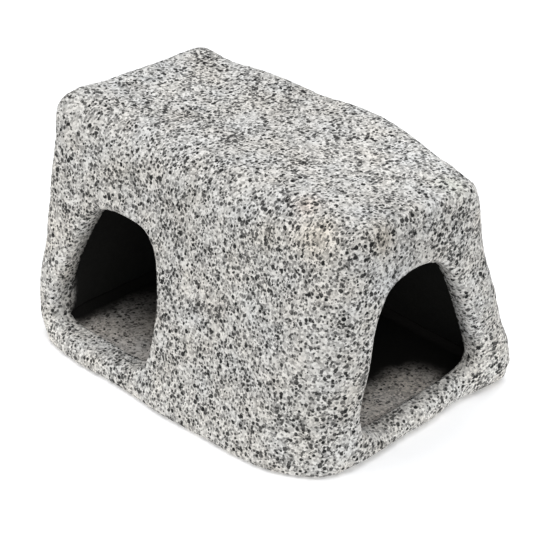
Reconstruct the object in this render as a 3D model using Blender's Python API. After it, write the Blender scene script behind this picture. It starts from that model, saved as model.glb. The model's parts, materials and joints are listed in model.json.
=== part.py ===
"""Stone-effect aquarium cave: a hollow, hand-carved looking block with two arched entrances.

The block is a one-piece cast shell (roof and four walls, open underneath). A separately cast floor
slab closes the bottom, and a bead of adhesive joins the two. X runs along the length, Y along the
depth and +Z is up. The origin is at the bottom centre. Everything is in metres.
"""
import math

import bmesh
import bpy
from mathutils import Vector, noise

# ---------------------------------------------------------------- driving dimensions
LENGTH = 0.150
BASE_DEPTH = 0.1126
ROOF_DEPTH = 0.0665
HEIGHT = 0.0965
WALL = 0.0075
TOUCHING_GAP = 0.0003

BASE_CENTRE_Y = 0.0
ROOF_CENTRE_Y = -0.0030
LEFT_OVERHANG = 0.0025          # how far the -X end leans out at the roof
RIGHT_OVERHANG = 0.0010         # how far the +X end leans out at the roof

# The weathered block is a little uneven, so it moves by this much to stand centred on the origin
CENTRING = (0.0012, 0.0014, 0.0)

FLOOR_THICKNESS = 0.0075
FLOOR_CHAMFER = 0.0006
BEAD_WIDTH = 0.0015
BEAD_BOTTOM = 0.0008
BEAD_TOP = 0.0068

# Corner radii in plan, (at the base, at the roof), going round from +X -Y
CORNER_RADII = (
    (0.0255, 0.0130),           # +X -Y, the most worn corner
    (0.0095, 0.0075),           # +X +Y
    (0.0120, 0.0070),           # -X +Y
    (0.0080, 0.0050),           # -X -Y
)
SMALLEST_RADIUS = 0.0015        # a corner never gets sharper than this as the outline moves in
# Edge radii along the front, the +X end, the back and the -X end
ROOF_EDGES = (0.0140, 0.0040, 0.0050, 0.0050)
FOOT_EDGES = (0.0020, 0.0050, 0.0050, 0.0050)
CEILING_EDGES = (0.0070, 0.0070, 0.0070, 0.0070)
# How far in from the wall the rings of a rounded edge lie, as shares of its largest radius
EDGE_SHARES = (0.0, 0.03, 0.10, 0.22, 0.38, 0.62, 1.0)

# Mesh density
CORNER_STEPS = 5
LONG_SIDE_STEPS = 17
SHORT_SIDE_STEPS = 11
WALL_STEPS = 11
CAVITY_WALL_STEPS = 4
ROOF_RINGS = 6
CEILING_RINGS = 2
LAST_RING_SHARE = 0.5           # the last ring stays this share of a step away from the middle
SHARP_ANGLE = math.radians(40)  # edges that bend more than this are shaded sharp
ARCH_STEPS = 3                  # steps between neighbouring points of an arch outline
CAVITY_DEPTH_BELOW = 0.005      # the cavity cutter reaches this far below the foot

# Each weathered feature pushes the surface around a centre: (centre, reach, push)
WEATHERING = {
    # the roof's edges
    "bend in the back roof edge": ((0.012, 0.036, 0.095), 0.052, (0.0, 0.0088, 0.0014)),
    "raised back roof edge": ((-0.033, 0.032, 0.095), 0.027, (0.0, 0.0012, 0.0021)),
    "raised middle of that edge": ((0.016, 0.037, 0.096), 0.017, (0.0, 0.0008, 0.0010)),
    "low place in that edge": ((0.048, 0.032, 0.097), 0.009, (0.0, 0.0, -0.0012)),
    "raised left roof edge": ((-0.074, 0.001, 0.095), 0.019, (-0.0006, 0.0, 0.0021)),
    "raised back left corner": ((-0.072, 0.030, 0.095), 0.013, (0.0020, 0.0014, 0.0028)),
    "full front left roof corner": ((-0.075, -0.037, 0.090), 0.015, (-0.0013, -0.0018, 0.0050)),
    "worn back right roof corner": ((0.076, 0.030, 0.097), 0.017, (-0.0004, -0.0008, -0.0025)),
    "worn near roof corner": ((0.070, -0.034, 0.095), 0.020, (-0.0014, 0.0014, -0.0012)),
    "dish in the roof": ((-0.020, -0.004, 0.097), 0.036, (0.0, 0.0, -0.0014)),
    # the walls
    "full left end": ((-0.076, -0.042, 0.066), 0.027, (-0.0022, -0.0010, 0.0)),
    "hollow over the front entrance": ((-0.028, -0.040, 0.076), 0.017, (0.0, 0.0026, -0.0010)),
    "swelling on the front": ((0.018, -0.050, 0.036), 0.030, (0.0, -0.0016, 0.0)),
    "hollow in the back right edge": ((0.0757, 0.034, 0.067), 0.014, (-0.0016, -0.0012, 0.0)),
    "knob below that hollow": ((0.0745, 0.0420, 0.043), 0.012, (0.0006, 0.0013, 0.0)),
    # the foot
    "flare at the back right foot": ((0.075, 0.054, 0.0125), 0.014, (0.0025, 0.0042, 0.0)),
    "worn back right foot": ((0.077, 0.058, 0.000), 0.009, (-0.0024, -0.0016, 0.0)),
    "hollow in the end's foot": ((0.0755, 0.029, 0.003), 0.012, (-0.0022, 0.0, 0.0)),
    "swelling in the end's foot": ((0.0755, -0.028, 0.003), 0.020, (0.0010, 0.0, 0.0)),
    "worn near foot": ((0.062, -0.054, 0.002), 0.012, (-0.0004, 0.0014, 0.0)),
    "swelling of the front foot": ((-0.030, -0.056, 0.004), 0.044, (0.0, -0.0016, 0.0)),
    "swelling in its middle": ((0.009, -0.056, 0.004), 0.017, (0.0, -0.0024, 0.0)),
    "swelling left of that": ((-0.046, -0.056, 0.004), 0.014, (0.0, -0.0022, 0.0)),
    "flare at the front left foot": ((-0.077, -0.056, 0.019), 0.026, (-0.0038, -0.0016, 0.0)),
    "knob on the front left foot": ((-0.074, -0.054, 0.013), 0.009, (-0.0007, -0.0005, 0.0)),
    "worn front left foot": ((-0.077, -0.058, 0.000), 0.010, (0.0042, 0.0020, 0.0)),
}
FOOT_FADE = 0.004               # heights change less and less below this, so the foot stays flat
# Gentle irregular waviness all over: (length of a wave, height)
WAVES = ((0.030, 0.0011), (0.014, 0.0005))
ROOF_WAVES_FADE = 4             # the waviness of the roof fades down the walls with this power

# Entrance outlines, anticlockwise seen from outside, as (sideways, up) on the wall
FRONT_ARCH = (
    (-0.0672, 0.0145), (-0.0642, 0.0094), (-0.0575, 0.0079), (-0.0370, 0.0078),
    (-0.0240, 0.0084), (-0.0160, 0.0112), (-0.0121, 0.0170), (-0.0112, 0.0260),
    (-0.0125, 0.0400), (-0.0180, 0.0550), (-0.0280, 0.0622), (-0.0450, 0.0618),
    (-0.0520, 0.0590), (-0.0572, 0.0500), (-0.0622, 0.0380), (-0.0658, 0.0240),
)
END_ARCH = (
    (-0.0268, 0.0195), (-0.0245, 0.0125), (-0.0175, 0.0094), (0.0000, 0.0100),
    (0.0170, 0.0112), (0.0295, 0.0130), (0.0345, 0.0170), (0.0335, 0.0240),
    (0.0275, 0.0405), (0.0210, 0.0565), (0.0140, 0.0670), (0.0060, 0.0705),
    (-0.0050, 0.0703), (-0.0145, 0.0665), (-0.0195, 0.0560), (-0.0225, 0.0405),
    (-0.0263, 0.0280),
)
FRONT_CUT = (-0.075, -0.022)    # from outside the front wall to inside the chamber, along Y
END_CUT = (0.092, 0.058)        # from outside the +X wall to inside the chamber, along X

# Colour and roughness of each material
MATERIALS = {
    "stone_coat": ((0.62, 0.62, 0.60), 0.85),
    "floor_resin": ((0.40, 0.38, 0.36), 0.90),
    "adhesive": ((0.33, 0.31, 0.28), 0.50),
}


def mix(a, b, t):
    """Linear blend from a to b."""
    return a + (b - a) * t


def clear_scene():
    """Remove every object, so that the file holds only this part."""
    for item in list(bpy.data.objects):
        bpy.data.objects.remove(item, do_unlink=True)


def plain_material(name):
    """A Principled material with one colour and one roughness."""
    colour, roughness = MATERIALS[name]
    material = bpy.data.materials.new(name)
    material.use_nodes = True
    shader = material.node_tree.nodes["Principled BSDF"]
    shader.inputs["Base Color"].default_value = (*colour, 1.0)
    shader.inputs["Roughness"].default_value = roughness
    shader.inputs["Metallic"].default_value = 0.0
    material.diffuse_color = (*colour, 1.0)
    return material


# ---------------------------------------------------------------- the block's outline
def outline_limits(height, inset):
    """Low and high X, then low and high Y, of the block's outline at one height."""
    t = min(max(height / HEIGHT, 0.0), 1.0)
    half_y = mix(BASE_DEPTH, ROOF_DEPTH, t) / 2
    centre_y = mix(BASE_CENTRE_Y, ROOF_CENTRE_Y, t)
    return (
        -LENGTH / 2 - LEFT_OVERHANG * t + inset,
        LENGTH / 2 + RIGHT_OVERHANG * t - inset,
        centre_y - half_y + inset,
        centre_y + half_y - inset,
    )


def plan_loop(height, inset=0.0):
    """Outline of the block at one height, going round from +X -Y.

    It is a rectangle with rounded corners. inset moves every side inwards.
    """
    t = min(max(height / HEIGHT, 0.0), 1.0)
    low_x, high_x, low_y, high_y = outline_limits(height, inset)
    corners = ((high_x, low_y), (high_x, high_y), (low_x, high_y), (low_x, low_y))
    inwards = ((-1, 1), (-1, -1), (1, -1), (1, 1))
    arcs = []
    for number, corner in enumerate(corners):
        radius = max(mix(*CORNER_RADII[number], t) - inset, SMALLEST_RADIUS)
        centre = Vector(corner) + Vector(inwards[number]) * radius
        arc = []
        for step in range(CORNER_STEPS + 1):
            angle = math.radians(-90 + 90 * (number + step / CORNER_STEPS))
            arc.append(centre + Vector((math.cos(angle), math.sin(angle))) * radius)
        arcs.append(arc)
    loop = []
    for number, arc in enumerate(arcs):
        following = arcs[(number + 1) % 4]
        steps = SHORT_SIDE_STEPS if number % 2 == 0 else LONG_SIDE_STEPS
        loop += arc
        loop += [arc[-1].lerp(following[0], step / steps) for step in range(1, steps)]
    return loop


def rounding(distance, radius):
    """How far a quarter-round edge lies from its flat, at a distance in from its side."""
    slope_part = 1 - min(max(distance, 0.0) / radius, 1.0)
    return radius * (1 - math.sqrt(1 - slope_part ** 2))


def edge_drop(point, limits, radii, depth):
    """How far the rounded edges lie from their flat at one point in plan, depth in from the outline.

    Near a corner the roundings of both sides add up, and the corner is never sharper than the
    sharpest side.
    """
    low_x, high_x, low_y, high_y = limits
    distances = (point.y - low_y, high_x - point.x, high_y - point.y, point.x - low_x)
    drop = sum(rounding(distance, radius) for distance, radius in zip(distances, radii))
    return max(drop, rounding(depth, min(radii)))


def edge_ring(level, direction, radii, depth, inset=0.0):
    """One ring of the rounded edge between the walls and a flat.

    level is the flat's height, and direction says whether it is a roof (1) or a foot (-1). depth is
    how far this ring lies in from the walls.
    """
    limits = outline_limits(level, inset)
    ring = []
    for number, flat_point in enumerate(plan_loop(level, inset + depth)):
        z = level - direction * edge_drop(flat_point, limits, radii, depth)
        point = plan_loop(z, inset + depth)[number]
        ring.append(Vector((point.x, point.y, z)))
    return ring


def edge_rings(level, direction, radii, inset=0.0):
    """All rings of a rounded edge, from the wall to the flat."""
    return [edge_ring(level, direction, radii, share * max(radii), inset) for share in EDGE_SHARES]


def wall_ring(bottom_ring, top_ring, t):
    """A ring part of the way up the wall, between the foot's edge and the roof's edge."""
    return [low.lerp(high, t) for low, high in zip(bottom_ring, top_ring)]


def closing_rings(ring, count):
    """Rings that shrink from the given one to the middle of a flat."""
    middle = sum(ring, Vector()) / len(ring)
    return [[middle.lerp(point, 1 - step / (count + LAST_RING_SHARE)) for point in ring]
            for step in range(1, count + 1)]


def weathered(point):
    """Where a point of the block lies once wear and the hand-carved look are added."""
    moved = point.copy()
    for centre, reach, push in WEATHERING.values():
        nearness = math.exp(-((point - Vector(centre)).length / reach) ** 2)
        moved += Vector(push) * nearness
    outward = Vector((2 * point.x / LENGTH,
                      2 * point.y / BASE_DEPTH,
                      (point.z / HEIGHT) ** ROOF_WAVES_FADE))
    for length, height in WAVES:
        moved += outward * height * noise.noise(point / length)
    height_share = min(max(point.z / FOOT_FADE, 0.0), 1.0)
    moved.z = mix(point.z, moved.z, height_share)
    return moved


# ---------------------------------------------------------------- mesh building
def mesh_object(name, material, rings):
    """A closed body lofted through rings that all have the same number of points, lowest first."""
    mesh = bpy.data.meshes.new(name)
    work = bmesh.new()
    rows = [[work.verts.new(point) for point in ring] for ring in rings]
    count = len(rings[0])
    for lower, upper in zip(rows, rows[1:]):
        for i in range(count):
            j = (i + 1) % count
            work.faces.new((lower[i], lower[j], upper[j], upper[i]))
    work.faces.new(list(reversed(rows[0])))
    bmesh.ops.poke(work, faces=[work.faces.new(rows[-1])])
    bmesh.ops.recalc_face_normals(work, faces=work.faces)
    work.to_mesh(mesh)
    work.free()
    item = bpy.data.objects.new(name, mesh)
    bpy.context.collection.objects.link(item)
    if material:
        mesh.materials.append(material)
    return item


def cutter(name, rings):
    """A closed body that only cuts another and isn't part of the object."""
    item = mesh_object(name, None, rings)
    item.hide_render = True
    item.display_type = "WIRE"
    return item


def cut(item, tool):
    """Subtract a cutter from an object with a Boolean modifier."""
    modifier = item.modifiers.new("cut " + tool.name, "BOOLEAN")
    modifier.operation = "DIFFERENCE"
    modifier.solver = "EXACT"
    modifier.object = tool


def smooth_outline(points):
    """A smooth closed curve through the points (a Catmull-Rom spline)."""
    curve = []
    count = len(points)
    for i in range(count):
        before, start, end, after = (Vector(points[(i + k) % count]) for k in (-1, 0, 1, 2))
        for step in range(ARCH_STEPS):
            t = step / ARCH_STEPS
            curve.append(0.5 * (2 * start + (end - before) * t
                                + (2 * before - 5 * start + 4 * end - after) * t ** 2
                                + (3 * start - before - 3 * end + after) * t ** 3))
    return curve


# ---------------------------------------------------------------- the pieces
def flat_ring(inset, z):
    """A level ring that follows the leaning walls at one height, moved inwards."""
    return [Vector((point.x, point.y, z)) for point in plan_loop(z, inset)]


def block_rings():
    """Rings of the outer block, from the edge of the foot to the middle of the roof."""
    foot = list(reversed(edge_rings(0.0, -1, FOOT_EDGES)))
    roof = edge_rings(HEIGHT, 1, ROOF_EDGES)
    wall = [wall_ring(foot[-1], roof[0], step / WALL_STEPS) for step in range(1, WALL_STEPS)]
    rings = foot + wall + roof + closing_rings(roof[-1], ROOF_RINGS)
    rings = [[weathered(point) for point in ring] for ring in rings]
    middle_height = sum(point.z for point in rings[-1]) / len(rings[-1])
    rings[-1] = [Vector((point.x, point.y, middle_height)) for point in rings[-1]]
    return rings


def cavity_rings():
    """Rings of the hollow inside, open through the foot."""
    mouth = flat_ring(WALL, -CAVITY_DEPTH_BELOW)
    foot = flat_ring(WALL, 0.0)
    every_second = slice(None, None, 2)
    ceiling = edge_rings(HEIGHT - WALL, 1, CEILING_EDGES, WALL)[every_second]
    wall = [wall_ring(foot, ceiling[0], step / CAVITY_WALL_STEPS) for step in range(CAVITY_WALL_STEPS)]
    return [mouth] + wall + ceiling + closing_rings(ceiling[-1], CEILING_RINGS)


def make_shell():
    """Roof and four walls with two entrances, cast in one."""
    shell = mesh_object("cave_shell", plain_material("stone_coat"), block_rings())
    front = [[Vector((across, y, up)) for across, up in smooth_outline(FRONT_ARCH)] for y in FRONT_CUT]
    end = [[Vector((x, across, up)) for across, up in smooth_outline(END_ARCH)] for x in END_CUT]
    cut(shell, cutter("cavity_cutter", cavity_rings()))
    cut(shell, cutter("front_entrance_cutter", front))
    cut(shell, cutter("end_entrance_cutter", end))
    shell.data.shade_smooth()
    shell.data.set_sharp_from_angle(angle=SHARP_ANGLE)
    return shell


def make_floor():
    """The slab that closes the bottom, flush with the foot of the walls."""
    inset = WALL + TOUCHING_GAP + BEAD_WIDTH + TOUCHING_GAP
    rings = [
        flat_ring(inset + FLOOR_CHAMFER, 0.0),
        flat_ring(inset, FLOOR_CHAMFER),
        flat_ring(inset, FLOOR_THICKNESS - FLOOR_CHAMFER),
        flat_ring(inset + FLOOR_CHAMFER, FLOOR_THICKNESS),
    ]
    return mesh_object("floor_slab", plain_material("floor_resin"), rings)


def make_bead():
    """The ring of adhesive between the slab's edge and the walls."""
    outer = WALL + TOUCHING_GAP
    inner = outer + BEAD_WIDTH
    mesh = bpy.data.meshes.new("bond_bead")
    work = bmesh.new()
    section = ((outer, BEAD_BOTTOM), (outer, BEAD_TOP), (inner, BEAD_TOP), (inner, BEAD_BOTTOM))
    rows = [[work.verts.new(point) for point in flat_ring(inset, z)] for inset, z in section]
    count = len(rows[0])
    for row, following in zip(rows, rows[1:] + rows[:1]):
        for i in range(count):
            j = (i + 1) % count
            work.faces.new((row[i], row[j], following[j], following[i]))
    bmesh.ops.recalc_face_normals(work, faces=work.faces)
    work.to_mesh(mesh)
    work.free()
    bead = bpy.data.objects.new("bond_bead", mesh)
    bpy.context.collection.objects.link(bead)
    mesh.materials.append(plain_material("adhesive"))
    return bead


def main():
    """Build the cave and centre it."""
    clear_scene()
    make_shell()
    make_floor()
    make_bead()
    centre = bpy.data.objects.new("cave_centre", None)
    bpy.context.collection.objects.link(centre)
    for item in bpy.data.objects:
        if item.type == "MESH":
            item.parent = centre
    centre.location = CENTRING
    bpy.context.view_layer.update()


main()
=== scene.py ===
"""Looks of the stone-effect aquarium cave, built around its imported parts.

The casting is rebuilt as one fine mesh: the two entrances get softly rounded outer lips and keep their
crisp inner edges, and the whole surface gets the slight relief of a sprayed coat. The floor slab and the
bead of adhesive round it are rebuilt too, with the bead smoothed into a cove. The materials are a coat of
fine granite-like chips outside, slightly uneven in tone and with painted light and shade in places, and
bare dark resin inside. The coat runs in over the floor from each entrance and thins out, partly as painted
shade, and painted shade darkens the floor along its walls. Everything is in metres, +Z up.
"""

import json
import math

import bmesh
import bpy
import numpy as np
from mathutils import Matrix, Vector, noise
from mathutils.bvhtree import BVHTree
from mathutils.kdtree import KDTree


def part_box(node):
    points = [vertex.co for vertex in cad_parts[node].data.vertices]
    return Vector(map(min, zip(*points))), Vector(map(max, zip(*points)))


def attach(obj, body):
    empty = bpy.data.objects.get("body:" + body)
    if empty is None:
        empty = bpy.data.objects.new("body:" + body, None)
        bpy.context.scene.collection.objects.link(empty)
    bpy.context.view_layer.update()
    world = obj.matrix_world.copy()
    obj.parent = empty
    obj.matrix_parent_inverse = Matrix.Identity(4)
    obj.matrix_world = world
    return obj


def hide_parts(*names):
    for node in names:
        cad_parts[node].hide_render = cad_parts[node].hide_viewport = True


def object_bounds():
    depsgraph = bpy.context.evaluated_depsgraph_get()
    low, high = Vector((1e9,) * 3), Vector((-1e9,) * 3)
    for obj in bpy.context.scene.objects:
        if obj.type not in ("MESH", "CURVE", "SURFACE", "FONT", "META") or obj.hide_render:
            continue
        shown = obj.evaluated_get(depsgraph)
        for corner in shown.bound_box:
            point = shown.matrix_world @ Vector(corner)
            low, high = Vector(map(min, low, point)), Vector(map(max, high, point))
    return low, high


MM = 0.001
WELD_DISTANCE = 0.001 * MM      # points closer than this are one point
SAME_LEVEL = 0.01 * MM          # and points closer than this in height lie on one level
BODY = "root"

# ---------------------------------------------------------------- camera and studio
LENS_MM = 144.0
SENSOR_MM = 36.0
CAMERA_AZIMUTH = 46.51          # degrees from straight in front, towards the +X end
CAMERA_ELEVATION = 30.91
CAMERA_DISTANCE = 0.834         # from the point that it is aimed at
AIM_FROM_MIDDLE = Vector((3.34, 1.22, -12.04)) * MM     # from the middle of the part's box

STUDIO_FLOOR_SIZE = 6.0
STUDIO_FLOOR_GAP = 0.1 * MM     # below the foot of the part
STUDIO_WHITE = (0.94, 0.94, 0.94, 1.0)
LIGHT_WHITE = (1.0, 1.0, 1.0, 1.0)      # colour of the sky and of the floor's own light
SKY_STRENGTH = 0.55
FLOOR_GLOW = 0.20               # light given off by the studio floor, which softens the shadow at the foot
# Each soft light: (direction it shines from, distance, side length, power in watts, colour)
SOFT_LIGHTS = {
    "overhead_light": ((0.05, 0.10, 1.0), 1.2, 1.2, 11.4, (0.97, 0.99, 1.03)),
    "left_light": ((-0.8, -1.0, 0.45), 1.2, 0.9, 3.1, (1.02, 1.00, 0.98)),
    "right_light": ((1.0, -0.45, 0.30), 1.2, 0.9, 2.0, (1.00, 1.00, 1.00)),
}

# ---------------------------------------------------------------- shape of the casting
FINE_MESH = 1.1 * MM            # edge length of the rebuilt meshes
SHARP_ANGLE = math.radians(40)  # rims of the plain casting bend more than this
RIM_STEP = 0.5 * MM             # spacing of the points that mark a rim
LIP_CORE = 2.0 * MM             # the rounding of a lip is full this close to an outer rim
LIP_REACH = 4.8 * MM            # and fades out here
LIP_ROUNDS = 12                 # rounds of smoothing on a lip
SETTLING_ROUNDS = 2             # light smoothing of the whole casting
SETTLING_WEIGHT = 0.5
CRISP_CORE = 0.6 * MM           # no rounding this close to an inner rim
CRISP_REACH = 2.4 * MM
RIM_CATCH = 0.7 * MM            # points this close to an inner rim are drawn onto it
RIM_PULL = 0.85                 # by this share of the way
# Relief of the sprayed coat: (length of a bump, height)
COAT_RELIEF = ((9.0 * MM, 0.28 * MM), (3.6 * MM, 0.17 * MM), (1.9 * MM, 0.12 * MM))
LIP_RELIEF = 0.35               # share of the relief that is left on a lip
LIP_RELIEF_REACH = 8.0 * MM     # the relief is whole again this far from an outer rim
FOOT_RELIEF_FADE = 3.0 * MM     # no relief at the very foot, all of it this far up

# ---------------------------------------------------------------- where the casting is coated, and painted shade on its jambs
JAMB_LOSS_AND_SHADE = 0.50                # loss of coat on a jamb's inner edge, together with painted shade there
JAMB_LOSS_AND_SHADE_REACH = 6.5 * MM      # from that edge to where the coat is whole
JAMB_LOSS_AND_SHADE_HEIGHTS = (14.0 * MM, 26.0 * MM)      # none of that loss and painted shade on the sills, all of it further up
SILL_OVERSPRAY = (1.5 * MM, 4.0 * MM)           # how far the coat runs over a sill's inner edge

# ---------------------------------------------------------------- shape of the cove and the floor
COVE_WIDTH = 4.2 * MM           # the adhesive's cove, inwards from the wall
COVE_HEIGHT = 2.6 * MM          # and up the wall
COVE_GAP = 0.06 * MM            # the cove's clearance from the wall and the slab
COVE_SECTIONS = 440             # cross-sections round the slab
COVE_CURVE_STEPS = 7            # straight steps in each section's curve
LEVEL_STEP = 0.1 * MM           # accuracy to which the height of the wall behind the cove is found
COVE_SINK = 0.08 * MM           # the cove's thin edge ends this far below the top of the slab
COVE_REACH = 6.0 * MM           # the walls are looked for this far out from the slab's edge
BEAD_WIDTH = 2.7 * MM           # where there is no wall to be found
COVE_LOWERING = 4               # sections on either side whose lowest height a section takes
COVE_EVENING = 3                # sections on either side over which the height is then averaged
COVE_DIRECTION_SPAN = 2         # sections on either side that give the outline's direction
SILL_CLEARANCE = 15.0 * MM      # only the walls reach this far above the slab, not the sills
COVE_INNER = 1.0 * MM           # beside the slab, the adhesive starts this far out from the slab's edge

# Relief of the floor: (length of a bump, height)
FLOOR_RELIEF = ((14.0 * MM, 0.16 * MM), (4.0 * MM, 0.10 * MM))
FLOOR_TOP_BAND = 1.0 * MM       # only the top of the slab, down to this depth, takes the relief
FLOOR_RELIEF_RISE = (COVE_WIDTH, 2 * COVE_WIDTH)        # and it sets in this far from the slab's edges

# ---------------------------------------------------------------- where the floor is coated, and painted shade on it
# How far in from an entrance the coat on the floor starts to thin out towards bare dark resin, and where it
# ends; the fade is partly overspray and partly painted shade
FLOOR_FADES = {"front_entrance": (2.0 * MM, 45.0 * MM), "end_entrance": (11.0 * MM, 22.0 * MM)}
# Irregularity of that edge: (length, depth)
FADE_RAGGEDNESS = ((7.0 * MM, 3.0 * MM), (2.5 * MM, 1.5 * MM))
# Painted shade: the floor darkens to bare resin between these distances from the slab's left and back edges
LEFT_WALL_PAINTED_SHADE = (0.5 * MM, 12.0 * MM)
BACK_WALL_PAINTED_SHADE = (13.0 * MM, 28.0 * MM)

# ---------------------------------------------------------------- look of the coat and the resin
NOISE_DETAIL = 2.0              # finer layers in each noise
NOISE_MIDDLE = (0.5, 0.5, 0.5)
CLOUD_RANGE = (0.25, 0.75)      # nearly all of a soft noise lies in this range

# Light chips of the base coat, from greyish to white
BASE_CHIP = 0.85 * MM
BASE_TONES = (
    (0.00, (0.250, 0.245, 0.233)),
    (0.35, (0.463, 0.454, 0.433)),
    (0.65, (0.597, 0.586, 0.560)),
    (1.00, (0.735, 0.722, 0.692)),
)
# Layers of specks over the base: (cell size, share of the cells, colour)
SPECK_LAYERS = (
    (1.35 * MM, 0.48, (0.180, 0.178, 0.172, 1.0)),
    (1.75 * MM, 0.44, (0.012, 0.012, 0.012, 1.0)),
    (1.15 * MM, 0.46, (0.020, 0.020, 0.019, 1.0)),
)
SPECK_RADII = (0.34, 0.62)      # smallest and largest, as shares of the cell size
SPECK_EDGE = 0.10               # softness of a speck's outline, as a share of the cell size
FAINTEST_SPECK = 0.68           # how much the faintest specks cover the base
RAGGED_LENGTH = 0.7 * MM        # length of the notches in the outlines of chips and specks
RAGGED_SHIFT = 0.6 * MM         # and their depth
CROWDING_LENGTH = 7.0 * MM      # size of the places where specks crowd together
CROWDING = (0.25, 1.65)         # least and most crowding
HUE_DRIFT_LENGTH = 13.0 * MM    # size of the slightly warmer and cooler places of the coat
WARM_TINT = (1.025, 1.000, 0.965, 1.0)
COOL_TINT = (0.985, 1.003, 1.025, 1.0)

FINE_GRAIN = 0.6 * MM           # length of the finest bumps
FINE_GRAIN_SHARE = 0.7          # their share of the coat's height
CHIP_HEIGHT_SHARE = 0.5         # share of the height by which the lighter chips stand proud
BUMP_HEIGHT = 0.20 * MM
BUMP_STRENGTH = 0.5
ROUGHNESS = 0.75                # in the coat's hollows
ROUGHNESS_GAIN = 0.2            # added on its heights
DULLNESS = 0.12                 # low specular level of the matt coat

DARK_RESIN = (0.013, 0.013, 0.012, 1.0)
FLOOR_CROWDING = 0.35           # the floor's coat has fewer specks
FLOOR_TINT = (0.83, 0.80, 0.78)
END_PAINTED_LIGHT = 0.42           # painted light: the floor is this much lighter near the +X end
END_PAINTED_LIGHT_RISE = (10.0 * MM, 45.0 * MM)         # and that sets in between these places along x
COVE_PAINTED_SHADE = 0.9                # painted shade: darkening of the bare cove along the walls

FOOT_PAINTED_LIGHT = 0.08          # painted light: the coat is this much lighter round the foot
FOOT_PAINTED_LIGHT_FADE = (8.0 * MM, 30.0 * MM)         # and that fades out between these heights
# Places where the coat differs in its own tone, or where light and shade are painted on it: (centre in mm,
# radius in mm, tint, crowding of the specks)
COAT_AND_PAINTED_LIGHT_PATCHES = (
    # the +X end: painted shade under the roof, painted light towards the foot
    ((75, -4, 79), 20, (0.85, 0.85, 0.85), 1.15),
    ((75, -17, 91), 6, (0.84, 0.80, 0.74), 1.60),
    ((76, 19, 86), 6, (0.90, 0.90, 0.90), 1.45),
    ((76, -16, 73), 8, (0.97, 1.00, 1.04), 1.00),
    ((76, 42, 12), 20, (1.14, 1.14, 1.14), 0.85),
    ((76, 8, 4), 20, (1.14, 1.14, 1.14), 0.85),
    # the front: clusters of specks, darker places under the roof's edge, and painted light on the left edge
    # and at the foot
    ((-8, -41, 71), 13, (0.92, 0.92, 0.92), 1.10),
    ((-35, -38, 79), 6, (0.90, 0.89, 0.86), 1.40),
    ((-3, -38, 84), 6, (0.94, 0.94, 0.93), 1.35),
    ((38, -39, 82), 8, (0.98, 0.98, 0.97), 1.30),
    ((66, -47, 25), 9, (0.98, 0.98, 0.97), 1.30),
    ((-70, -50, 42), 15, (1.07, 1.07, 1.07), 0.90),
    ((-58, -58, 7), 20, (1.13, 1.13, 1.13), 0.90),
    # the roof, with a faint rosy spot near the front edge, and painted light further back
    ((47, -25, 96), 5, (1.05, 0.96, 0.91), 1.00),
    ((58, -32, 90), 9, (1.03, 0.99, 0.93), 1.00),
    ((71, 22, 95), 5, (0.98, 1.01, 0.97), 1.10),
    ((45, 20, 97), 24, (1.09, 1.09, 1.09), 0.85),
)


# ---------------------------------------------------------------- small tools for meshes
def read_points(mesh):
    """The mesh's points as an array."""
    points = np.empty(len(mesh.vertices) * 3, np.float32)
    mesh.vertices.foreach_get("co", points)
    return points.reshape(-1, 3).astype(float)


def write_points(mesh, points):
    """Puts an array of points back into the mesh."""
    mesh.vertices.foreach_set("co", points.astype(np.float32).ravel())
    mesh.update()


def read_edges(mesh):
    """The mesh's edges as pairs of point numbers."""
    edges = np.empty(len(mesh.edges) * 2, np.int32)
    mesh.edges.foreach_get("vertices", edges)
    return edges.reshape(-1, 2)


def read_normals(mesh):
    """The normal at each of the mesh's points."""
    normals = np.empty(len(mesh.vertices) * 3, np.float32)
    mesh.vertex_normals.foreach_get("vector", normals)
    return normals.reshape(-1, 3).astype(float)


def smoothstep(low, high, value):
    """0 below low, 1 above high, and a smooth rise between them."""
    t = np.clip((value - low) / (high - low), 0.0, 1.0)
    return t * t * (3 - 2 * t)


def relaxed(points, edges, weights, rounds):
    """The points, each moved towards the mean of its neighbours by its own weight, in several rounds."""
    ends = np.concatenate((edges, edges[:, ::-1]))
    neighbours = np.bincount(ends[:, 0], minlength=len(points))[:, None]
    for _ in range(rounds):
        total = [np.bincount(ends[:, 0], points[ends[:, 1], axis], len(points)) for axis in range(3)]
        points = points + weights[:, None] * (np.stack(total, axis=1) / neighbours - points)
    return points


def relief(points, layers):
    """Height of an irregular relief at each point, summed over layers of (bump length, height)."""
    height = np.zeros(len(points))
    for length, size in layers:
        height += size * np.array([noise.noise(Vector(point) / length) for point in points])
    return height


def welded(node):
    """A CAD node as a bmesh whose faces share their points."""
    work = bmesh.new()
    work.from_mesh(frame["nodes"][node].data)
    bmesh.ops.remove_doubles(work, verts=work.verts, dist=WELD_DISTANCE)
    work.faces.index_update()
    return work


def new_piece(name, mesh):
    """An object for the mesh, in the scene."""
    mesh.name = name
    item = bpy.data.objects.new(name, mesh)
    bpy.context.scene.collection.objects.link(item)
    return item


def remeshed(name, work):
    """A new object with the bmesh rebuilt from small even faces."""
    mesh = bpy.data.meshes.new(name)
    work.to_mesh(mesh)
    item = new_piece(name, mesh)
    modifier = item.modifiers.new("fine mesh", "REMESH")
    modifier.mode = "VOXEL"
    modifier.voxel_size = FINE_MESH
    graph = bpy.context.evaluated_depsgraph_get()
    fine = bpy.data.meshes.new_from_object(item.evaluated_get(graph), depsgraph=graph)
    item.modifiers.clear()
    item.data = fine
    bpy.data.meshes.remove(mesh)
    fine.name = name
    fine.shade_smooth()
    return item


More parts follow.
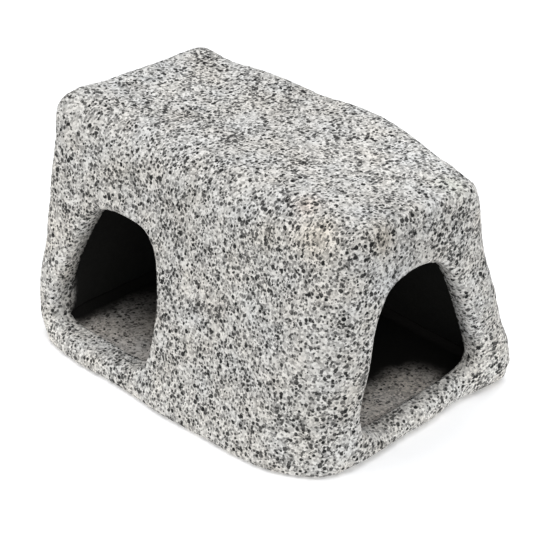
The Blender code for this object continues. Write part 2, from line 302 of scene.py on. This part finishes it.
def paint(mesh, coat_and_painted_shade, tints_and_painted_light, crowding):
    """Stores the share of coat, its tint and the crowding of its specks at each point for the material; the
    share of coat also holds painted shade, and the tint painted light and shade.
    """
    for name, values in (("coat_and_painted_shade", coat_and_painted_shade), ("crowding", crowding)):
        attribute = mesh.attributes.new(name, "FLOAT", "POINT")
        attribute.data.foreach_set("value", np.asarray(values, np.float32))
    colours = np.ones((len(coat_and_painted_shade), 4), np.float32)
    colours[:, :3] = tints_and_painted_light
    mesh.attributes.new("tint_and_painted_light", "FLOAT_COLOR", "POINT").data.foreach_set("color", colours.ravel())


def paint_floor(mesh, coat_and_painted_shade, painted_shade=1.0):
    """Paints a piece of the cave's floor: few specks, painted light towards the +X end, and any painted
    shade given.
    """
    painted_light = 1 + END_PAINTED_LIGHT * smoothstep(*END_PAINTED_LIGHT_RISE, read_points(mesh)[:, 0])
    tints_and_painted_light = np.outer(painted_light * painted_shade, FLOOR_TINT)
    paint(mesh, coat_and_painted_shade, tints_and_painted_light, np.full(len(coat_and_painted_shade), FLOOR_CROWDING))


def finish_piece(item, material, slot, *nodes):
    """Gives a piece its material and lets it stand for the CAD nodes; slot is not used."""
    item.data.materials.clear()
    item.data.materials.append(material)
    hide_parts(*nodes)
    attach(item, BODY)


# ---------------------------------------------------------------- zones and rims of the plain casting
def casting_zones(plain):
    """The zone of each face of the plain casting: "outside", "inside" or "jamb", the wall's thickness.

    Sharp rims part the surface into stretches. The largest is the outside and the next the inside.
    """
    stretches = []
    seen = set()
    for start in plain.faces:
        if start.index in seen:
            continue
        stretch = [start]
        seen.add(start.index)
        for face in stretch:
            for edge in face.edges:
                if edge.calc_face_angle(0.0) > SHARP_ANGLE:
                    continue
                for other in edge.link_faces:
                    if other.index not in seen:
                        seen.add(other.index)
                        stretch.append(other)
        stretches.append(stretch)
    stretches.sort(key=lambda stretch: sum(face.calc_area() for face in stretch), reverse=True)
    names = ["outside", "inside"] + ["jamb"] * (len(stretches) - 2)
    return {face.index: name for name, stretch in zip(names, stretches) for face in stretch}


def rim_tree(plain, zones, zone):
    """Closely spaced points along the rim where the jambs meet a zone, for distance queries."""
    marks = []
    for edge in plain.edges:
        sides = {zones[face.index] for face in edge.link_faces}
        if sides == {"jamb", zone}:
            start, end = (vertex.co for vertex in edge.verts)
            steps = max(1, math.ceil((end - start).length / RIM_STEP))
            marks += [start.lerp(end, step / steps) for step in range(steps + 1)]
    tree = KDTree(len(marks))
    for number, mark in enumerate(marks):
        tree.insert(mark, number)
    tree.balance()
    return tree


def distances(tree, points):
    """Distance from each point to the nearest mark in a tree."""
    return np.array([tree.find(point)[2] for point in points])


# ---------------------------------------------------------------- the pieces
def make_shell():
    """The cast shell with rounded lips, crisp inner edges and the relief of its coat."""
    plain = welded("cave_shell")
    zones = casting_zones(plain)
    outer_rim = rim_tree(plain, zones, "outside")
    inner_rim = rim_tree(plain, zones, "inside")
    surface = BVHTree.FromBMesh(plain)
    shell = remeshed("stone_shell", plain)
    mesh = shell.data
    points = read_points(mesh)
    edges = read_edges(mesh)
    from_outer = distances(outer_rim, points)
    from_inner = distances(inner_rim, points)
    zone = np.array([zones[surface.find_nearest(point)[2]] for point in points])
    plain.free()

    crispness = 1 - smoothstep(CRISP_CORE, CRISP_REACH, from_inner)
    lip_weight = (1 - smoothstep(LIP_CORE, LIP_REACH, from_outer)) * (1 - crispness)
    points = relaxed(points, edges, SETTLING_WEIGHT * (1 - crispness), SETTLING_ROUNDS)
    points = relaxed(points, edges, lip_weight, LIP_ROUNDS)
    draw_to_rim(points, from_inner, inner_rim)
    write_points(mesh, points)
    push = shell_relief(points, from_outer) * (1 - crispness)
    points += read_normals(mesh) * push[:, None]
    points[:, 2] = np.maximum(points[:, 2], 0.0)
    write_points(mesh, points)

    paint(mesh, shell_coat_and_painted_shade(points, zone, from_inner), *uneven_coat_and_painted_light(points))
    finish_piece(shell, coated_material("stone_coat"), "stone_coat", "cave_shell")
    return shell


def draw_to_rim(points, from_inner, inner_rim):
    """Moves the points that lie close to an inner rim onto it, so that the edge stays crisp."""
    for number in np.flatnonzero(from_inner < RIM_CATCH):
        mark = np.array(inner_rim.find(points[number])[0])
        points[number] += RIM_PULL * (mark - points[number])


def shell_relief(points, from_outer):
    """Height of the coat's relief at each point of the shell: low on a lip, and none at the very foot."""
    above_foot = smoothstep(0.0, FOOT_RELIEF_FADE, points[:, 2])
    off_lip = LIP_RELIEF + (1 - LIP_RELIEF) * smoothstep(0.0, LIP_RELIEF_REACH, from_outer)
    return relief(points, COAT_RELIEF) * above_foot * off_lip


def shell_coat_and_painted_shade(points, zone, from_inner):
    """How much of the stone coat lies at each point of the shell: 1 outside, less or none inside, and less
    towards a jamb's inner edge, partly as painted shade.
    """
    above_sill = smoothstep(*JAMB_LOSS_AND_SHADE_HEIGHTS, points[:, 2])
    near_rim = 1 - smoothstep(0.0, JAMB_LOSS_AND_SHADE_REACH, from_inner)
    over_edge = (1 - above_sill) * (1 - smoothstep(*SILL_OVERSPRAY, from_inner))
    return np.where(zone == "inside", over_edge, 1 - JAMB_LOSS_AND_SHADE * near_rim * above_sill)


def uneven_coat_and_painted_light(points):
    """Tint and crowding of the specks at each point of the shell, where the coat was sprayed unevenly, with
    painted light round the foot and painted light and shade in some patches.
    """
    tints_and_painted_light = np.ones((len(points), 3))
    tints_and_painted_light += FOOT_PAINTED_LIGHT * (1 - smoothstep(*FOOT_PAINTED_LIGHT_FADE, points[:, 2]))[:, None]
    crowding = np.ones(len(points))
    for centre, radius, tint_and_painted_light, crowd in COAT_AND_PAINTED_LIGHT_PATCHES:
        away = np.linalg.norm(points / MM - centre, axis=1) / radius
        share = np.exp(-away ** 2)
        tints_and_painted_light *= 1 + share[:, None] * (np.array(tint_and_painted_light) - 1)
        crowding *= 1 + share * (crowd - 1)
    return tints_and_painted_light, crowding


def entrance_distance(opening, points):
    """Distance of each point of the floor from the stretch of the slab's edge at an entrance."""
    slab_low, slab_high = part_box("floor_slab")
    low = np.clip(opening["box_m"][0], slab_low, slab_high)
    high = np.clip(opening["box_m"][1], slab_low, slab_high)
    along_front = high[0] - low[0] > high[1] - low[1]
    if along_front:
        high[1] = low[1]
    else:
        low[0] = high[0]
    away = np.maximum(low[:2] - points[:, :2], points[:, :2] - high[:2])
    return np.linalg.norm(np.maximum(away, 0.0), axis=1)


def floor_coat_and_painted_shade(points):
    """How much of the stone coat each point of the floor shows: 1 at an entrance, 0 deep inside. The fall
    to bare dark resin is partly overspray and partly painted shade, and wholly painted shade along the left
    and back walls.
    """
    slab_low, slab_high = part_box("floor_slab")
    coat_and_painted_shade = np.zeros(len(points))
    ragged = relief(points, FADE_RAGGEDNESS)
    for opening in frame["record"]["physics"]["openings"]:
        if opening["name"] in FLOOR_FADES:
            start, end = FLOOR_FADES[opening["name"]]
            distance = entrance_distance(opening, points)
            coat_and_painted_shade = np.maximum(coat_and_painted_shade, 1 - smoothstep(start, end, distance + ragged))
    coat_and_painted_shade *= smoothstep(*LEFT_WALL_PAINTED_SHADE, points[:, 0] - slab_low.x + ragged)
    return coat_and_painted_shade * smoothstep(*BACK_WALL_PAINTED_SHADE, slab_high.y - points[:, 1] + ragged)


def make_floor():
    """The floor slab, slightly uneven on top."""
    plain = welded("floor_slab")
    floor = remeshed("cave_floor", plain)
    plain.free()
    mesh = floor.data
    points = read_points(mesh)
    low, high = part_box("floor_slab")
    on_top = smoothstep(high.z - FLOOR_TOP_BAND, high.z, points[:, 2])
    from_edge = np.minimum.reduce([points[:, 0] - low.x, high.x - points[:, 0],
                                   points[:, 1] - low.y, high.y - points[:, 1]])
    away_from_cove = smoothstep(*FLOOR_RELIEF_RISE, from_edge)
    points[:, 2] += relief(points, FLOOR_RELIEF) * on_top * away_from_cove
    write_points(mesh, points)
    paint_floor(mesh, floor_coat_and_painted_shade(points))
    finish_piece(floor, coated_material("floor_resin"), "floor_resin", "floor_slab")


def slab_outline():
    """Evenly spaced (point, outward direction) pairs round the top edge of the slab."""
    low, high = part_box("floor_slab")
    middle = (low + high) / 2
    slab = welded("floor_slab")
    corners = [vertex.co.xy for vertex in slab.verts if vertex.co.z > high.z - SAME_LEVEL]
    slab.free()
    corners.sort(key=lambda corner: math.atan2(corner.y - middle.y, corner.x - middle.x))
    following_corners = corners[1:] + corners[:1]
    lengths = [(end - start).length for start, end in zip(corners, following_corners)]
    spacing = sum(lengths) / COVE_SECTIONS
    outline = []
    travelled = 0.0
    for start, end, length in zip(corners, following_corners, lengths):
        while len(outline) * spacing < travelled + length and len(outline) < COVE_SECTIONS:
            outline.append(start.lerp(end, (len(outline) * spacing - travelled) / length))
        travelled += length
    pairs = []
    for number, point in enumerate(outline):
        following = outline[(number + COVE_DIRECTION_SPAN) % COVE_SECTIONS]
        along = following - outline[number - COVE_DIRECTION_SPAN]
        pairs.append((point, Vector((along.y, -along.x)).normalized()))
    return pairs


def rolled(values, span):
    """The values of a closed ring, shifted by every step from -span to span."""
    return [np.roll(values, shift) for shift in range(-span, span + 1)]


def wall_distance(walls, point, outward, z):
    """How far the wall is from a point of the slab's edge at height z, or None over a sill."""
    return walls.ray_cast(Vector((*point, z)), Vector((*outward, 0.0)), COVE_REACH)[3]


def cove_heights(walls, outline):
    """How far above the slab the cove reaches, all round: never past the top of a sill."""
    slab_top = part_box("floor_slab")[1].z
    highest = slab_top + COVE_HEIGHT
    heights = []
    for point, outward in outline:
        z = slab_top
        while z < highest and wall_distance(walls, point, outward, z + LEVEL_STEP) is not None:
            z += LEVEL_STEP
        heights.append(z - slab_top)
    heights = np.minimum.reduce(rolled(heights, COVE_LOWERING))
    return np.mean(rolled(heights, COVE_EVENING), axis=0)


def cove_section(walls, point, outward, height):
    """The adhesive's cross-section at a point of the slab's edge, as (distance outwards, z) pairs."""
    bead_low, bead_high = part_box("bond_bead")
    slab_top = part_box("floor_slab")[1].z
    base = wall_distance(walls, point, outward, slab_top - LEVEL_STEP) or BEAD_WIDTH
    section = [(base - COVE_GAP, bead_low.z), (base - COVE_GAP, bead_high.z)]
    for step in range(COVE_CURVE_STEPS + 1):
        t = step / COVE_CURVE_STEPS
        z = slab_top - COVE_SINK + (height + COVE_SINK) * (1 - t) ** 2
        wall = wall_distance(walls, point, outward, z - LEVEL_STEP) or base
        section.append((wall - COVE_GAP - COVE_WIDTH * t, z))
    return section + [(COVE_INNER, slab_top - COVE_SINK), (COVE_INNER, bead_low.z)]


def make_cove(shell):
    """The adhesive between slab and walls, squeezed out and smoothed into a cove."""
    walls = BVHTree.FromPolygons([v.co for v in shell.data.vertices],
                                 [list(p.vertices) for p in shell.data.polygons])
    above_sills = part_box("floor_slab")[1].z + SILL_CLEARANCE
    outline = slab_outline()
    work = bmesh.new()
    rows = []
    over_sill = []
    for (point, outward), height in zip(outline, cove_heights(walls, outline)):
        section = cove_section(walls, point, outward, height)
        rows.append([work.verts.new((*(point + outward * across), z)) for across, z in section])
        open_above = wall_distance(walls, point, outward, above_sills) is None
        over_sill += [open_above] * len(section)
    for row, following in zip(rows, rows[1:] + rows[:1]):
        for i in range(len(row)):
            j = (i + 1) % len(row)
            work.faces.new((row[i], following[i], following[j], row[j]))
    bmesh.ops.recalc_face_normals(work, faces=work.faces)
    mesh = bpy.data.meshes.new("floor_cove")
    work.to_mesh(mesh)
    work.free()
    mesh.shade_smooth()
    over_sill = np.array(over_sill)
    # painted shade darkens the bare cove along the walls
    paint_floor(mesh, floor_coat_and_painted_shade(read_points(mesh)) * over_sill, np.where(over_sill, 1.0, COVE_PAINTED_SHADE))
    cove = new_piece("floor_cove", mesh)
    finish_piece(cove, coated_material("coved_adhesive"), "adhesive", "bond_bead")


# ---------------------------------------------------------------- small tools for materials
def put(tree, kind, inputs=None, **settings):
    """A new shader node. inputs maps a socket's name or number to a value or another node's output."""
    node = tree.nodes.new("ShaderNode" + kind)
    for name, value in settings.items():
        setattr(node, name, value)
    for key, value in (inputs or {}).items():
        if isinstance(value, bpy.types.NodeSocket):
            tree.links.new(value, node.inputs[key])
        else:
            node.inputs[key].default_value = value
    return node


def calculate(tree, operation, *values):
    """Output of a Math node."""
    return put(tree, "Math", dict(enumerate(values)), operation=operation).outputs[0]


def mixed_colour(tree, share, first, second, blend="MIX"):
    """Two colours mixed: the share says how much of the second.

    The node's inputs 6 and 7 and its output 2 are its colours.
    """
    node = put(tree, "Mix", {0: share, 6: first, 7: second}, data_type="RGBA", blend_type=blend)
    return node.outputs[2]


def graded(tree, value, stops):
    """Colour read from a value through a ramp of (position, colour) stops."""
    node = put(tree, "ValToRGB", {0: value})
    ramp = node.color_ramp
    while len(ramp.elements) < len(stops):
        ramp.elements.new(1.0)
    for element, (position, colour) in zip(ramp.elements, stops):
        element.position = position
        element.color = (*colour, 1.0)
    return node.outputs[0]


def mapped(tree, value, low, high, new_low, new_high):
    """A value carried over from the stretch low to high onto another stretch, and held at its ends."""
    return put(tree, "MapRange", {0: value, 1: low, 2: high, 3: new_low, 4: new_high}).outputs[0]


def clouds(tree, place, length):
    """Soft irregular patches of about one length, from 0 to 1."""
    return put(tree, "TexNoise", {"Vector": place, "Scale": 1 / length, "Detail": NOISE_DETAIL}).outputs[0]


def spread_clouds(tree, place, length, low, high):
    """Soft irregular patches that use the whole stretch from low to high."""
    return mapped(tree, clouds(tree, place, length), *CLOUD_RANGE, low, high)


def roughened_place(tree):
    """Places on the object, shifted a little and irregularly, so that chips get ragged outlines."""
    place = put(tree, "TexCoord").outputs["Object"]
    ragged = put(tree, "TexNoise", {"Vector": place, "Scale": 1 / RAGGED_LENGTH, "Detail": NOISE_DETAIL})
    centred = put(tree, "VectorMath", {0: ragged.outputs["Color"], 1: NOISE_MIDDLE},
                  operation="SUBTRACT").outputs[0]
    offset = put(tree, "VectorMath", {0: centred, "Scale": RAGGED_SHIFT}, operation="SCALE").outputs[0]
    return put(tree, "VectorMath", {0: place, 1: offset}, operation="ADD").outputs[0]


def specks(tree, place, size, share, crowding):
    """Separate ragged specks, 1 inside and 0 outside, some of them fainter.

    size is the spacing of the cells that may hold a speck, and share, times crowding, says how many do.
    """
    cells = put(tree, "TexVoronoi", {"Vector": place, "Scale": 1 / size}).outputs
    luck = put(tree, "SeparateColor", {0: cells["Color"]}).outputs
    chosen = calculate(tree, "LESS_THAN", luck[0], calculate(tree, "MULTIPLY", crowding, share))
    radius = calculate(tree, "MULTIPLY_ADD", luck[1], SPECK_RADII[1] - SPECK_RADII[0], SPECK_RADII[0])
    depth = calculate(tree, "SUBTRACT", radius, cells["Distance"])
    inside = mapped(tree, depth, 0.0, SPECK_EDGE, 0.0, 1.0)
    strength = calculate(tree, "MULTIPLY_ADD", luck[2], 1 - FAINTEST_SPECK, FAINTEST_SPECK)
    return calculate(tree, "MULTIPLY", calculate(tree, "MULTIPLY", chosen, inside), strength)


def new_material(name):
    """A new material and its Principled shader."""
    material = bpy.data.materials.new(name)
    material.use_nodes = True
    return material, material.node_tree.nodes["Principled BSDF"]


# ---------------------------------------------------------------- the materials
def granite(tree):
    """Colour and height of a sprayed coat of fine stone chips."""
    place = roughened_place(tree)
    chip = put(tree, "TexVoronoi", {"Vector": place, "Scale": 1 / BASE_CHIP}).outputs["Color"]
    value = put(tree, "SeparateColor", {0: chip}).outputs[0]
    colour = graded(tree, value, BASE_TONES)
    crowding = spread_clouds(tree, place, CROWDING_LENGTH, *CROWDING)
    local = put(tree, "Attribute", attribute_name="crowding").outputs["Fac"]
    crowding = calculate(tree, "MULTIPLY", crowding, local)
    for size, share, tone in SPECK_LAYERS:
        colour = mixed_colour(tree, specks(tree, place, size, share, crowding), colour, tone)
    drift = mixed_colour(tree, spread_clouds(tree, place, HUE_DRIFT_LENGTH, 0.0, 1.0), WARM_TINT, COOL_TINT)
    colour = mixed_colour(tree, 1.0, colour, drift, "MULTIPLY")
    height = calculate(tree, "MULTIPLY_ADD", clouds(tree, place, FINE_GRAIN), FINE_GRAIN_SHARE,
                       calculate(tree, "MULTIPLY", value, CHIP_HEIGHT_SHARE))
    return colour, height


def coated_material(name):
    """The stone coat where the piece's share of coat is 1, and bare dark resin where it is 0, which stands
    partly for painted shade; the piece's tint, which holds painted light and shade, multiplies the colour.
    """
    material, shader = new_material(name)
    tree = material.node_tree
    colour, height = granite(tree)
    coat_and_painted_shade = put(tree, "Attribute", attribute_name="coat_and_painted_shade").outputs["Fac"]
    colour = mixed_colour(tree, coat_and_painted_shade, DARK_RESIN, colour)
    tint_and_painted_light = put(tree, "Attribute", attribute_name="tint_and_painted_light").outputs["Color"]
    colour = mixed_colour(tree, 1.0, colour, tint_and_painted_light, "MULTIPLY")
    tree.links.new(colour, shader.inputs["Base Color"])
    bump = put(tree, "Bump", {"Height": height, "Strength": BUMP_STRENGTH, "Distance": BUMP_HEIGHT})
    tree.links.new(bump.outputs[0], shader.inputs["Normal"])
    roughness = calculate(tree, "MULTIPLY_ADD", height, ROUGHNESS_GAIN, ROUGHNESS)
    tree.links.new(roughness, shader.inputs["Roughness"])
    shader.inputs["Specular IOR Level"].default_value = DULLNESS
    return material


# ---------------------------------------------------------------- the studio
def add_camera(low, high):
    """The camera, aimed near the middle of the part."""
    azimuth = math.radians(CAMERA_AZIMUTH)
    elevation = math.radians(CAMERA_ELEVATION)
    back = Vector((math.sin(azimuth) * math.cos(elevation),
                   -math.cos(azimuth) * math.cos(elevation),
                   math.sin(elevation)))
    camera = bpy.data.objects.new("camera", bpy.data.cameras.new("camera"))
    bpy.context.scene.collection.objects.link(camera)
    camera.location = (low + high) / 2 + AIM_FROM_MIDDLE + back * CAMERA_DISTANCE
    camera.rotation_mode = "QUATERNION"
    camera.rotation_quaternion = (-back).to_track_quat("-Z", "Y")
    camera.data.sensor_width = SENSOR_MM
    camera.data.lens = LENS_MM
    bpy.context.scene.camera = camera


def add_studio_floor():
    """A plain pale floor just below the foot of the part."""
    mesh = bpy.data.meshes.new("studio_floor")
    half = STUDIO_FLOOR_SIZE / 2
    corners = [(-half, -half), (half, -half), (half, half), (-half, half)]
    mesh.from_pydata([(x, y, -STUDIO_FLOOR_GAP) for x, y in corners], [], [(0, 1, 2, 3)])
    material, shader = new_material("studio_floor")
    shader.inputs["Base Color"].default_value = STUDIO_WHITE
    shader.inputs["Roughness"].default_value = 1.0
    shader.inputs["Specular IOR Level"].default_value = 0.0
    shader.inputs["Emission Color"].default_value = LIGHT_WHITE
    shader.inputs["Emission Strength"].default_value = FLOOR_GLOW
    mesh.materials.append(material)
    new_piece("studio_floor", mesh)


def add_sky():
    """An even white sky."""
    world = bpy.data.worlds.new("studio")
    world.use_nodes = True
    world.node_tree.nodes["Background"].inputs["Color"].default_value = LIGHT_WHITE
    world.node_tree.nodes["Background"].inputs["Strength"].default_value = SKY_STRENGTH
    bpy.context.scene.world = world


def add_soft_lights():
    """Large square lights, all aimed at the foot of the part."""
    for name, (direction, distance, side, power, colour) in SOFT_LIGHTS.items():
        data = bpy.data.lights.new(name, "AREA")
        data.size = side
        data.energy = power
        data.color = colour
        lamp = bpy.data.objects.new(name, data)
        bpy.context.scene.collection.objects.link(lamp)
        towards = Vector(direction).normalized()
        lamp.location = towards * distance
        lamp.rotation_mode = "QUATERNION"
        lamp.rotation_quaternion = (-towards).to_track_quat("-Z", "Y")


# ---------------------------------------------------------------- everything
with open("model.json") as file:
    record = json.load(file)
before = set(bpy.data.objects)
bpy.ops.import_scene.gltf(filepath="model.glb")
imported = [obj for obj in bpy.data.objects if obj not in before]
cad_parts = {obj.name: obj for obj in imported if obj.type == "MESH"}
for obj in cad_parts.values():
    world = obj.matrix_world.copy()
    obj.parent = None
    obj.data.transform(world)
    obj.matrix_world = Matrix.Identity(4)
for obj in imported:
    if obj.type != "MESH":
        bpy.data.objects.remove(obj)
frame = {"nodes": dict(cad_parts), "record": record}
cad_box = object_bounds()
bpy.context.scene.view_settings.view_transform = "Standard"
add_camera(*cad_box)
add_studio_floor()
add_sky()
add_soft_lights()
stone_shell = make_shell()
make_floor()
make_cove(stone_shell)
